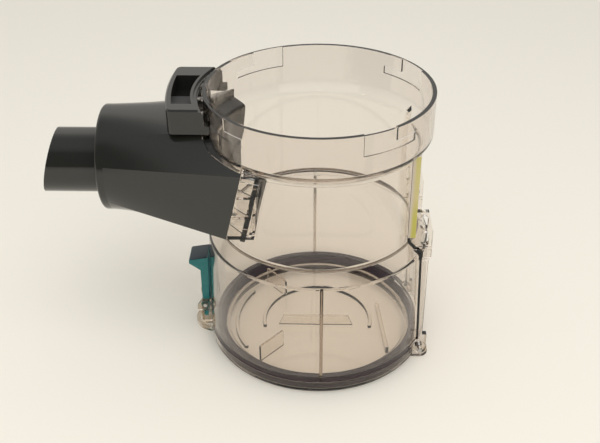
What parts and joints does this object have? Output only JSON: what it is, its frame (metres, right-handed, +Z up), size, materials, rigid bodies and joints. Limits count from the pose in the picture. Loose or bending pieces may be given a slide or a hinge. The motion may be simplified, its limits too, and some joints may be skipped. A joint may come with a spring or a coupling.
{
  "type": "cyclone dust bin",
  "caption": "Clear cylindrical dust bin with a bayonet collar, a dark side inlet duct with nozzle, a hinged bottom lid with seal and a sprung latch lever.",
  "frame": {"origin": "on the bin's axis, at the underside of the bottom lid", "axes": "+Z up along the bin's axis, the inlet duct to -X, the lid's hinge at +X"},
  "size_m": [0.1936, 0.1162, 0.1405],
  "materials": {
    "clear_plastic": "clear moulded plastic with a smoky tint",
    "dark_plastic": "dark grey satin moulded plastic",
    "teal_plastic": "teal moulded plastic",
    "yellow_strip": "matt yellow strip",
    "seal_rubber": "soft black rubber",
    "pin_steel": "bright drawn steel",
    "spring_steel": "spring wire"
  },
  "bodies": {
    "bin": {"bin_body": "clear_plastic", "rear_strip": "yellow_strip", "inlet_nozzle": "dark_plastic", "inlet_duct": "dark_plastic", "catch_cover": "dark_plastic", "hinge_pin_front": "pin_steel", "hinge_pin_back": "pin_steel", "latch_pin": "pin_steel", "latch_spring": "spring_steel"},
    "lid": {"lid": "clear_plastic", "lid_seal": "seal_rubber"},
    "latch": {"latch_lever": "teal_plastic"}
  },
  "joints": [
    {"name": "lid_hinge", "type": "hinge", "parent": "bin", "child": "lid", "pos_m": [0.0536, 0, 0.0046], "axis": [0, -1, 0], "range_deg": [0, 95]},
    {"name": "latch_pivot", "type": "hinge", "parent": "bin", "child": "latch", "pos_m": [-0.06, 0, 0.017], "axis": [0, -1, 0], "range_deg": [0, 7], "stiffness_Nm_per_rad": 0.02, "springref_deg": -17.19, "deforming": ["latch_spring"]}
  ]
}
